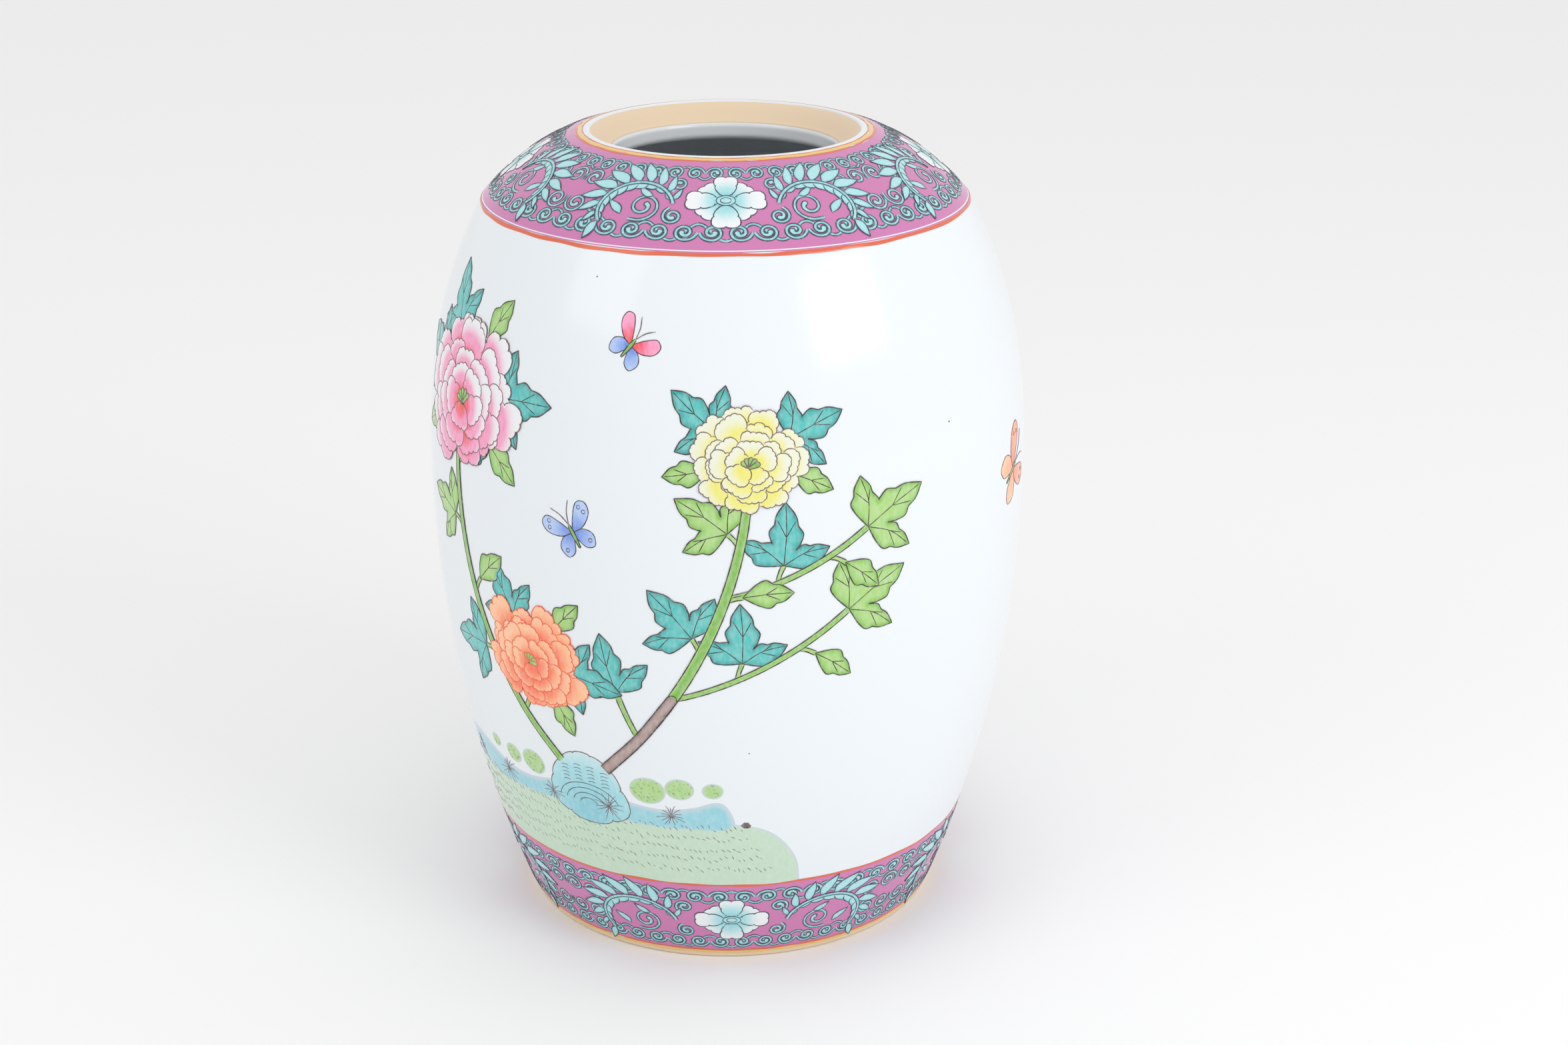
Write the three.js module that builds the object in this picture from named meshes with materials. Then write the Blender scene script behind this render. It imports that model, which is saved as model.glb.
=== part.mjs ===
// A porcelain ginger jar without its lid, built up as it is made. A foot ring, a base disc, two thrown halves
// of the barrel, a shoulder dome and a mouth ring are luted together, then glazed inside and out, then given
// borders of enamel. Millimetres, +Z up. The origin is the middle of the ring that the jar stands on.
import * as THREE from "three";

const point = (radius, height) => new THREE.Vector2(radius, height);

// Outer form
const FOOT_RADIUS = 80;
const BELLY_RADIUS = 112.8;
const BELLY_HEIGHT = 174;
const SHOULDER_RADIUS = 90;
const SHOULDER_HEIGHT = 276.7;
const LOWER_SWELL = 2.08; // a higher power keeps the wall upright for longer before it turns in
const UPPER_SWELL = 2.45;
const MOUTH_RADIUS = 54.8;
const MOUTH_HEIGHT = 300.2;
const DOME_CROWN = 0.57; // 0 makes the shoulder a straight cone

// Layers
const FIT = 0.02; // the hair's breadth kept between a coat and what it covers
const GLAZE = 0.3;
const GROUND_ENAMEL = 0.2;
const LINE_ENAMEL = 0.3;
const WALL = 5.6;

// Foot and base
const FOOT_RING_INNER_RADIUS = 73;
const FOOT_RING_TOP = 8;
const FOOT_EDGE = 1.2;
const BASE_UNDERSIDE = 5;
const BASE_TOP = 12;

// Borders: heights on the barrel, and radii on the shoulder
const FOOT_YELLOW_START = 2.6;
const FOOT_RED_START = 3.6;
const FOOT_GROUND_START = 4.6;
const FOOT_GROUND_END = 37.2;
const FOOT_BORDER_END = 38.2;
const SHOULDER_LINE_START = 275.7;
const SHOULDER_GROUND_START = 89.2;
const MOUTH_RED_START = 55.3;
const MOUTH_YELLOW_START = 54.3;
const LIP_RED_START = 52.7;
const LIP_RED_END = 52.1;

// Seams, bevelled so that each thrown piece sits inside the one below it
const BELLY_SEAM = 150;
const BELLY_SEAM_INSIDE = 154;
const SHOULDER_SEAM = 273.7;
const MOUTH_SEAM = 58;

// Stations between which the faceted walls run straight
const FOOT_BORDER_MIDDLE = 22;
const LOWER_HEIGHTS = [FOOT_RING_TOP, FOOT_BORDER_MIDDLE, FOOT_BORDER_END, 66, 96, 124, BELLY_SEAM];
const UPPER_HEIGHTS = [BELLY_SEAM, BELLY_HEIGHT, 206, 236, 258, SHOULDER_SEAM];
const DOME_RADII = [82, 74, 66, MOUTH_SEAM];
const LOWER_WALL_HEIGHTS = [BELLY_SEAM_INSIDE, 104, 60, 24];
const UPPER_WALL_HEIGHTS = [246, 206, BELLY_SEAM_INSIDE];

// The lip, and below it the bare conical seat that the lid rested on
const LIP = [point(51.2, 301), point(50.1, 300.9), point(49.6, 300.5)];
const SEAT_BOTTOM = point(42.6, 294.4);

// The throat and the underside of the shoulder, from the seat outwards, and the corner round the floor
const THROAT = [point(42, 293), point(42, 289.5), point(44.5, 287.5)];
const MOUTH_UNDERSIDE = point(58, 288.2);
const DOME_UNDERSIDE = [point(66, 286.4), point(74, 282.6), point(82, 276.6)];
const SHOULDER_UNDERSIDE = point(87, 271);
const FLOOR_CORNER = [point(78.5, 15.2), point(FOOT_RING_INNER_RADIUS, BASE_TOP)];

const SEGMENTS = 32;

// ---- Outlines -------------------------------------------------------------------------------------------

// Radius of the barrel's outer face at a height.
function barrelRadius(height) {
  if (height < BELLY_HEIGHT) {
    const below = (BELLY_HEIGHT - height) / BELLY_HEIGHT;
    return BELLY_RADIUS - (BELLY_RADIUS - FOOT_RADIUS) * below ** LOWER_SWELL;
  }
  const above = (height - BELLY_HEIGHT) / (SHOULDER_HEIGHT - BELLY_HEIGHT);
  return BELLY_RADIUS - (BELLY_RADIUS - SHOULDER_RADIUS) * above ** UPPER_SWELL;
}

// Height of the shoulder's outer face at a radius.
function domeHeight(radius) {
  const inward = (SHOULDER_RADIUS - radius) / (SHOULDER_RADIUS - MOUTH_RADIUS);
  const rise = inward + DOME_CROWN * inward * (1 - inward);
  return SHOULDER_HEIGHT + (MOUTH_HEIGHT - SHOULDER_HEIGHT) * rise;
}

// Points on the outer face, or lifted off it: outwards on the barrel and upwards on the dome.
const onBarrel = (heights, lift = 0) => heights.map((height) => point(barrelRadius(height) + lift, height));
const onDome = (radii, lift = 0) => radii.map((radius) => point(radius, domeHeight(radius) + lift));
const onCorner = (lift = 0) => point(SHOULDER_RADIUS + lift, SHOULDER_HEIGHT + lift);
const onInnerWall = (heights, lift = 0) => onBarrel(heights, -WALL - lift);

// The mouth's outer face, from the seam to the seat's upper edge.
const mouthFace = (lift = 0) => [
  ...onDome([MOUTH_SEAM, LIP_RED_END], lift),
  ...LIP.slice(0, 2).map((place) => point(place.x, place.y + lift)),
];

// The same line moved sideways, to the right of its own direction.
function parallel(line, distance) {
  return line.map((here, i) => {
    const before = line[Math.max(i - 1, 0)];
    const after = line[Math.min(i + 1, line.length - 1)];
    const along = after.clone().sub(before).normalize();
    return point(here.x + along.y * distance, here.y - along.x * distance);
  });
}

// ---- Clay -----------------------------------------------------------------------------------------------

const UNDER_GLAZE = -GLAZE - FIT;

// A solid of revolution. The outline runs counterclockwise in radius and height, and is closed here unless it
// starts and ends on the axis.
function turned(outline) {
  const onAxis = outline[0].x === 0 && outline.at(-1).x === 0;
  const closed = onAxis ? outline : [...outline, outline[0]];
  return new THREE.LatheGeometry(closed, SEGMENTS).rotateX(Math.PI / 2);
}

// The ring rests on its flat underside, which is bare and slightly rounded at both edges.
function footRing() {
  return turned([
    point(FOOT_RING_INNER_RADIUS + FOOT_EDGE, 0),
    point(FOOT_RADIUS - FOOT_EDGE, 0),
    ...onBarrel([FOOT_EDGE, FOOT_RING_TOP], UNDER_GLAZE),
    point(FOOT_RING_INNER_RADIUS, FOOT_RING_TOP),
    point(FOOT_RING_INNER_RADIUS, FOOT_EDGE),
  ]);
}

function disc(radius, low, high) {
  return turned([point(0, low), point(radius, low), point(radius, high), point(0, high)]);
}

function lowerBody() {
  return turned([
    point(FOOT_RING_INNER_RADIUS, FOOT_RING_TOP),
    ...onBarrel(LOWER_HEIGHTS, UNDER_GLAZE),
    ...onInnerWall(LOWER_WALL_HEIGHTS),
    ...FLOOR_CORNER,
  ]);
}

function upperBody() {
  return turned([
    ...onBarrel(UPPER_HEIGHTS, UNDER_GLAZE),
    SHOULDER_UNDERSIDE,
    ...onInnerWall(UPPER_WALL_HEIGHTS),
  ]);
}

function shoulderDome() {
  return turned([
    ...onBarrel([SHOULDER_SEAM], UNDER_GLAZE),
    onCorner(UNDER_GLAZE),
    ...onDome(DOME_RADII, UNDER_GLAZE),
    MOUTH_UNDERSIDE,
    ...DOME_UNDERSIDE,
    SHOULDER_UNDERSIDE,
  ]);
}

function mouthRing() {
  return turned([...mouthFace(UNDER_GLAZE), LIP.at(-1), SEAT_BOTTOM, ...THROAT, MOUTH_UNDERSIDE]);
}

// ---- Glaze and enamel -----------------------------------------------------------------------------------

// The outer glaze starts above the bare foot, and ends at the seat's upper edge.
function outerGlaze() {
  const barrelHeights = [FOOT_YELLOW_START, ...LOWER_HEIGHTS, ...UPPER_HEIGHTS.slice(1)];
  const face = (lift) => [
    ...onBarrel(barrelHeights, lift),
    onCorner(lift),
    ...onDome(DOME_RADII.slice(0, -1), lift),
    ...mouthFace(lift),
  ];
  return turned([...face(0), ...face(-GLAZE).reverse()]);
}

// The inner glaze starts under the lid's bare seat, and covers the floor.
function innerGlaze() {
  const clay = [
    ...THROAT,
    MOUTH_UNDERSIDE,
    ...DOME_UNDERSIDE,
    SHOULDER_UNDERSIDE,
    ...onInnerWall([...UPPER_WALL_HEIGHTS, ...LOWER_WALL_HEIGHTS.slice(1)]),
    ...FLOOR_CORNER,
  ];
  const face = [...parallel(clay, GLAZE), point(0, BASE_TOP + GLAZE)];
  const underside = [...parallel(clay, FIT), point(0, BASE_TOP + FIT)];
  return turned([...underside.reverse(), ...face]);
}

// A band of enamel round the barrel or the dome. line gives its stations, lifted by an amount.
function band(line, thickness) {
  return turned([...line(thickness), ...line(FIT).reverse()]);
}

function barrelBand(heights, thickness) {
  return band((lift) => onBarrel(heights, lift), thickness);
}

function domeBand(radii, thickness) {
  return band((lift) => onDome(radii, lift), thickness);
}

// This line caps the sharp corner between the barrel and the dome.
function cornerLine() {
  const line = (lift) => [
    ...onBarrel([SHOULDER_LINE_START], lift),
    onCorner(lift),
    ...onDome([SHOULDER_GROUND_START], lift),
  ];
  return band(line, LINE_ENAMEL);
}

// ---- The jar --------------------------------------------------------------------------------------------

const biscuit = { color: 0xe6cfae, roughness: 0.85, metalness: 0 };
const porcelain = { color: 0xeae7e0, roughness: 0.8, metalness: 0 };
const clearGlaze = { color: 0xe9eef2, roughness: 0.12, metalness: 0 };
const rosePink = { color: 0xc977ae, roughness: 0.3, metalness: 0 };
const ironRed = { color: 0xd9583f, roughness: 0.4, metalness: 0 };
const rosyRed = { color: 0xcf6a72, roughness: 0.4, metalness: 0 };
const strawYellow = { color: 0xe8cf86, roughness: 0.4, metalness: 0 };

const jar = new THREE.Group();

function add(name, geometry, finish) {
  const mesh = new THREE.Mesh(geometry, new THREE.MeshStandardMaterial(finish));
  mesh.name = name;
  jar.add(mesh);
}

add("foot_ring", footRing(), biscuit);
add("base_disc", disc(FOOT_RING_INNER_RADIUS, BASE_UNDERSIDE, BASE_TOP), porcelain);
add("lower_body", lowerBody(), porcelain);
add("upper_body", upperBody(), porcelain);
add("shoulder_dome", shoulderDome(), porcelain);
add("mouth_ring", mouthRing(), biscuit);

add("outer_glaze", outerGlaze(), clearGlaze);
add("inner_glaze", innerGlaze(), clearGlaze);
add("base_glaze", disc(FOOT_RING_INNER_RADIUS, BASE_UNDERSIDE - GLAZE, BASE_UNDERSIDE - FIT), clearGlaze);

const footGround = [FOOT_GROUND_START, FOOT_RING_TOP, FOOT_BORDER_MIDDLE, FOOT_GROUND_END];
add("foot_yellow_line", barrelBand([FOOT_YELLOW_START, FOOT_RED_START], LINE_ENAMEL), strawYellow);
add("foot_red_line", barrelBand([FOOT_RED_START, FOOT_GROUND_START], LINE_ENAMEL), ironRed);
add("foot_border_ground", barrelBand(footGround, GROUND_ENAMEL), rosePink);
add("foot_border_top_line", barrelBand([FOOT_GROUND_END, FOOT_BORDER_END], LINE_ENAMEL), ironRed);

const shoulderGround = [SHOULDER_GROUND_START, ...DOME_RADII, MOUTH_RED_START];
add("shoulder_red_line", cornerLine(), ironRed);
add("shoulder_border_ground", domeBand(shoulderGround, GROUND_ENAMEL), rosePink);
add("mouth_red_line", domeBand([MOUTH_RED_START, MOUTH_YELLOW_START], LINE_ENAMEL), ironRed);
add("mouth_yellow_line", domeBand([MOUTH_YELLOW_START, LIP_RED_START], LINE_ENAMEL), strawYellow);
add("lip_red_line", domeBand([LIP_RED_START, LIP_RED_END], LINE_ENAMEL), rosyRed);

export default jar;
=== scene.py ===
"""A lidless porcelain ginger jar with overglaze enamel painting: peonies on branches from a garden rock, with
butterflies, between two rose-pink borders of flowers and scrolls. The painting is modelled as it is laid on:
thin pools of enamel under fine raised outlines, each bent round the turned body."""

import math
import random

import bpy
import numpy as np
from bpy.props import FloatProperty, FloatVectorProperty, IntProperty, PointerProperty
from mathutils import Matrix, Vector, geometry


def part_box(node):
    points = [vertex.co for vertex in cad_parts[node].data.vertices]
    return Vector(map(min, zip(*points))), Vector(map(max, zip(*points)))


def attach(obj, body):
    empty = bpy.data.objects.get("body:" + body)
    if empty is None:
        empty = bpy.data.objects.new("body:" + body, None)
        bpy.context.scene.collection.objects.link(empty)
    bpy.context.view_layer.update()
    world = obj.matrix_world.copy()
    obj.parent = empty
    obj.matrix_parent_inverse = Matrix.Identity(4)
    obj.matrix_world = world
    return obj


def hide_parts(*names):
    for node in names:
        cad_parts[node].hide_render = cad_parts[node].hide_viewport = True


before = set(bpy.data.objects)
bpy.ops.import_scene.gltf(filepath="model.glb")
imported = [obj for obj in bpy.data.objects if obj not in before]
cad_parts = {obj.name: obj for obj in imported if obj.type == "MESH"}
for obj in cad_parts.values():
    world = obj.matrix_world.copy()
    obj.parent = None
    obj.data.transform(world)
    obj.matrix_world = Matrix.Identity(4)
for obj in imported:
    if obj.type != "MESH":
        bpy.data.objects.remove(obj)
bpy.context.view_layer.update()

bl_info = {
    "name": "Ginger Jar",
    "version": (1, 0, 0),
    "blender": (4, 5, 0),
    "location": "View3D > Sidebar > Ginger Jar",
    "description": "Builds an enamelled porcelain ginger jar round its packed frame",
    "category": "Add Mesh",
}

MM = 0.001
SHARP = math.radians(35)


# ---- Sizes worked out from the frame, in millimetres ----------------------------------------------------


def span(node):
    """A CAD node's largest radius, lowest height and highest height, in millimetres."""
    low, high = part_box(node)
    return high[0] / MM, low[2] / MM, high[2] / MM


BELLY_RADIUS = span("outer_glaze")[0]
GLAZE_START = span("outer_glaze")[1]
FOOT_RADIUS = 80.0
BELLY_HEIGHT = 174.0
SHOULDER_RADIUS = 90.0
SHOULDER_HEIGHT = 276.7
LOWER_SWELL = 2.08
UPPER_SWELL = 2.45
MOUTH_RADIUS = 54.8
MOUTH_HEIGHT = 300.2
LIP_RADIUS = 52.1
DOME_CROWN = 0.57
RING_INNER_RADIUS = span("base_disc")[0]
BASE_UNDERSIDE = span("base_glaze")[1]
WALL = 5.9
GLAZE = 0.3
FLOOR_HEIGHT = span("inner_glaze")[1] + GLAZE
SEAT_TOP = (49.6, 300.5)
FOOT_GROUND = span("foot_border_ground")[1:]


def barrel_radius(height):
    """Radius of the barrel's glazed face at a height."""
    below = np.clip((BELLY_HEIGHT - height) / BELLY_HEIGHT, 0, None)
    above = np.clip((height - BELLY_HEIGHT) / (SHOULDER_HEIGHT - BELLY_HEIGHT), 0, None)
    drop = (BELLY_RADIUS - FOOT_RADIUS) * below**LOWER_SWELL
    return BELLY_RADIUS - drop - (BELLY_RADIUS - SHOULDER_RADIUS) * above**UPPER_SWELL


def dome_height(radius):
    """Height of the shoulder's glazed face at a radius."""
    inward = (SHOULDER_RADIUS - radius) / (SHOULDER_RADIUS - MOUTH_RADIUS)
    rise = inward + DOME_CROWN * inward * (1 - inward)
    return SHOULDER_HEIGHT + (MOUTH_HEIGHT - SHOULDER_HEIGHT) * rise


class Skin:
    """A face of the jar, unrolled flat. Across is measured round the jar from the front, at a stated radius,
    and up is measured along the wall. Both are in millimetres."""

    def __init__(self, around, radii, heights):
        self.around, self.radii, self.heights = around, radii, heights
        self.up = np.concatenate([[0], np.cumsum(np.hypot(np.diff(radii), np.diff(heights)))])

    def place(self, flat, lift):
        """Points in metres at flat places, lifted off the face."""
        angle = flat[:, 0] / self.around
        radius = np.interp(flat[:, 1], self.up, self.radii)
        height = np.interp(flat[:, 1], self.up, self.heights)
        step = 0.5
        rise = np.interp(flat[:, 1] + step, self.up, self.heights) - height
        run = np.interp(flat[:, 1] + step, self.up, self.radii) - radius
        length = np.maximum(np.hypot(rise, run), 1e-6)
        radius = radius + lift * rise / length
        height = height - lift * run / length
        return np.column_stack([radius * np.sin(angle), -radius * np.cos(angle), height]) * MM


def barrel_skin(around):
    heights = np.linspace(0, SHOULDER_HEIGHT, 400)
    return Skin(around, barrel_radius(heights), heights)


def dome_skin(around):
    radii = np.linspace(SHOULDER_RADIUS, LIP_RADIUS, 120)
    return Skin(around, radii, dome_height(radii))


BODY = barrel_skin(112.0)
FOOT = barrel_skin(88.0)
SHOULDER = dome_skin(75.0)
GROUND_LIFT = 0.06

# How far the undersides of washes, drawn lines and ruled lines are sunk in the glaze.
WASH_SUNK, LINE_SUNK, RULED_SUNK = 0.12, 0.1, 0.15


# ---- Lines and rings on the flat ------------------------------------------------------------------------
# A point written as a tuple is passed smoothly, and one written as a list is a sharp corner.


def through(points, step):
    """A curve through points, close to evenly spaced."""
    points = np.asarray(points, float)
    if len(points) == 2:
        count = max(2, int(math.dist(*points) / step) + 1)
        return np.linspace(points[0], points[1], count)
    ends = [2 * points[0] - points[1], *points, 2 * points[-1] - points[-2]]
    line = []
    for before, here, there, after in zip(ends, ends[1:], ends[2:], ends[3:]):
        sides = ((before, here), (here, there), (there, after))
        gap = [max(math.dist(a[:2], b[:2]), 1e-6) ** 0.5 for a, b in sides]
        slope_here = (here - before) / gap[0] - (there - before) / (gap[0] + gap[1]) + (there - here) / gap[1]
        slope_there = (there - here) / gap[1] - (after - here) / (gap[1] + gap[2]) + (after - there) / gap[2]
        slope_here, slope_there = slope_here * gap[1], slope_there * gap[1]
        count = max(2, int(gap[1] ** 2 / step) + 1)
        for t in np.linspace(0, 1, count, endpoint=False):
            line.append(
                (2 * t**3 - 3 * t**2 + 1) * here
                + (t**3 - 2 * t**2 + t) * slope_here
                + (3 * t**2 - 2 * t**3) * there
                + (t**3 - t**2) * slope_there
            )
    line.append(points[-1])
    return np.array(line)


def smooth(points, closed=False, step=0.6):
    """A dense line through points, with their sharp corners kept."""
    points = list(points)
    corners = [i for i, p in enumerate(points) if isinstance(p, list)]
    if closed and not corners:
        line = through(points[-3:] + points + points[:3], step)
        start = np.argmin(np.hypot(*(line - points[0]).T[:, : len(line) // 2]))
        end = len(line) // 2 + np.argmin(np.hypot(*(line - points[0]).T[:, len(line) // 2 :]))
        return line[start:end]
    if closed:
        points = points[corners[0] :] + points[: corners[0] + 1]
        corners = [i for i, p in enumerate(points) if isinstance(p, list)]
    stops = sorted({0, *corners, len(points) - 1})
    runs = [through(points[a : b + 1], step) for a, b in zip(stops, stops[1:])]
    line = np.vstack([run[:-1] for run in runs] + [runs[-1][-1:]])
    return line[:-1] if closed else line


def turns_left(ring):
    x, y = np.asarray(ring, float).T[:2]
    return np.sum(x * np.roll(y, -1) - np.roll(x, -1) * y) > 0


def ruffled(points, bulge=0.3, step=0.5):
    """A scalloped ring, with an arc that bulges outwards between each two points."""
    side = -1 if turns_left(points) else 1
    ring = []
    for here, there in zip(points, points[1:] + points[:1]):
        here, along = np.array(here, float), np.subtract(there, here)
        out = np.array([-along[1], along[0]]) * side * bulge
        for turn in np.linspace(0, math.pi, max(5, int(np.hypot(*along) / step)), endpoint=False):
            ring.append(here + along * (1 - math.cos(turn)) / 2 + out * math.sin(turn))
    return np.array(ring)


def limb(points):
    """The outline of a stalk through (across, up, width) points, open at its start and round at its end."""
    line = through(points, 0.6)
    along = np.gradient(line[:, :2], axis=0)
    along /= np.maximum(np.hypot(*along.T), 1e-9)[:, None]
    sideways = np.column_stack([-along[:, 1], along[:, 0]]) * line[:, 2:] / 2
    turn = np.linspace(0, math.pi, 7)[1:-1, None]
    end = line[-1, :2] + sideways[-1] * np.cos(turn) + along[-1] * line[-1, 2] / 2 * np.sin(turn)
    return np.vstack([line[:, :2] + sideways, end, (line[:, :2] - sideways)[::-1]])


def oval(x, y, across, up, count=28):
    turn = np.linspace(0, 2 * math.pi, count, endpoint=False)
    return np.column_stack([np.cos(turn) * across, np.sin(turn) * up]) + (x, y)


def inside(places, ring):
    """Which places lie inside a ring."""
    x, y = places[:, 0, None], places[:, 1, None]
    ax, ay = ring.T
    bx, by = np.roll(ring, -1, axis=0).T
    crosses = (ay > y) != (by > y)
    level = np.where(by == ay, 1e-9, by - ay)
    return (crosses & (x < ax + (y - ay) * (bx - ax) / level)).sum(axis=1) % 2 == 1


def edge_distance(places, ring):
    """How far each place is from a ring's edge."""
    nearest = np.full(len(places), np.inf)
    step = np.roll(ring, -1, axis=0) - ring
    size = np.maximum((step**2).sum(axis=1), 1e-12)
    for start in range(0, len(places), 2000):
        some = places[start : start + 2000, None] - ring
        share = np.clip((some * step).sum(axis=2) / size, 0, 1)
        off = some - share[..., None] * step
        nearest[start : start + 2000] = np.sqrt((off**2).sum(axis=2).min(axis=1))
    return nearest


def grown(ring, distance):
    """A ring moved outwards."""
    along = np.roll(ring, -1, axis=0) - np.roll(ring, 1, axis=0)
    along /= np.maximum(np.hypot(*along.T), 1e-9)[:, None]
    out = np.column_stack([along[:, 1], -along[:, 0]]) * (1 if turns_left(ring) else -1)
    return ring + out * distance


# ---- What a user would change ---------------------------------------------------------------------------


def tint(red, green, blue):
    """A colour from its everyday 0 to 255 values."""
    return tuple(((v / 255 + 0.055) / 1.055) ** 2.4 if v > 10 else v / 3294 for v in (red, green, blue))


def hue(name, description, *values):
    return FloatVectorProperty(
        name=name, description=description, default=tint(*values), size=3, min=0, max=1, subtype="COLOR"
    )


def length(name, description, millimetres):
    return FloatProperty(
        name=name, description=description, default=millimetres * MM, min=0, subtype="DISTANCE", unit="LENGTH"
    )


class JarColours(bpy.types.PropertyGroup):
    """Colours of the glaze, the clay and the enamels"""

    glaze: hue("Glaze", "Clear glaze over white porcelain", 206, 213, 220)
    biscuit: hue("Biscuit", "Bare fired clay of the foot and the lid's seat", 232, 216, 192)
    pink: hue("Pink", "Ground of both borders", 166, 94, 138)
    red: hue("Iron Red", "Ruled lines", 226, 84, 56)
    straw: hue("Straw", "Yellow ruled lines", 240, 206, 128)
    turquoise: hue("Turquoise", "Middle of the scroll", 168, 222, 226)
    turquoise_deep: hue("Deep Turquoise", "Edge of the scroll", 134, 204, 212)
    white: hue("White", "Edges of petals and border flowers", 236, 238, 240)
    teal: hue("Teal", "Edge of a dark leaf", 34, 150, 146)
    teal_pale: hue("Pale Teal", "Middle of a dark leaf", 84, 190, 186)
    green: hue("Green", "Edge of a green leaf", 118, 180, 62)
    green_pale: hue("Pale Green", "Middle of a green leaf", 166, 208, 120)
    ember: hue("Ember", "Root of a pink petal", 236, 78, 44)
    rose: hue("Rose", "Pink petals near the root", 244, 84, 122)
    pink_pale: hue("Pale Pink", "Pink petals near the edge", 244, 150, 190)
    orange: hue("Orange", "Root of an orange petal", 250, 110, 74)
    apricot: hue("Apricot", "Middle of an orange petal", 252, 152, 104)
    peach: hue("Peach", "Edge of an orange petal", 255, 192, 146)
    yellow: hue("Yellow", "Root of a yellow petal", 234, 228, 112)
    cream: hue("Cream", "Edge of a yellow petal", 232, 234, 214)
    blue: hue("Blue", "Root of a blue wing", 84, 128, 222)
    blue_pale: hue("Pale Blue", "Edge of a blue wing", 176, 200, 242)
    wood: hue("Wood", "Lit side of the trunk", 172, 148, 142)
    wood_dark: hue("Dark Wood", "Shaded side of the trunk", 120, 92, 84)
    rock: hue("Rock", "Garden rock", 166, 218, 226)
    rock_deep: hue("Deep Rock", "Foot of the garden rock", 132, 200, 212)
    water: hue("Water", "Strip of water behind the meadow", 140, 206, 218)
    meadow: hue("Meadow", "Meadow at the foot of the picture", 190, 220, 184)
    line: hue("Line", "Drawn outlines", 62, 46, 46)
    line_soft: hue("Soft Line", "Outlines of petals and grasses", 116, 94, 96)
    line_orange: hue("Orange Line", "Outlines of orange petals", 232, 96, 66)
    line_grey: hue("Grey Line", "Outlines of the scroll", 62, 74, 84)


class JarSizes(bpy.types.PropertyGroup):
    """Sizes of the painting, and how finely the jar is turned"""

    outline_width: length("Outline", "Width of the drawn outlines", 0.38)
    scroll_line_width: length("Scroll Outline", "Width of the outlines in the borders", 0.4)
    leaf_length: length("Leaf", "Length of a full-sized leaf", 27)
    peony_radius: length("Peony", "Radius of a full-sized peony", 33)
    butterfly_span: length("Butterfly", "Length of a butterfly's wing", 10)
    border_flower_radius: length("Border Flower", "Radius of the flowers in the borders", 15)
    segments: IntProperty(name="Segments", description="Steps round each turned piece", default=256, min=32)


def paint(name):
    return tuple(getattr(bpy.context.scene.jar_colours, name))


def size(name):
    """A size that the user sets, in millimetres."""
    return getattr(bpy.context.scene.jar_sizes, name) / MM


def ease(values):
    values = np.clip(values, 0, 1)
    return values * values * (3 - 2 * values)


# ---- Enamel ---------------------------------------------------------------------------------------------


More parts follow.
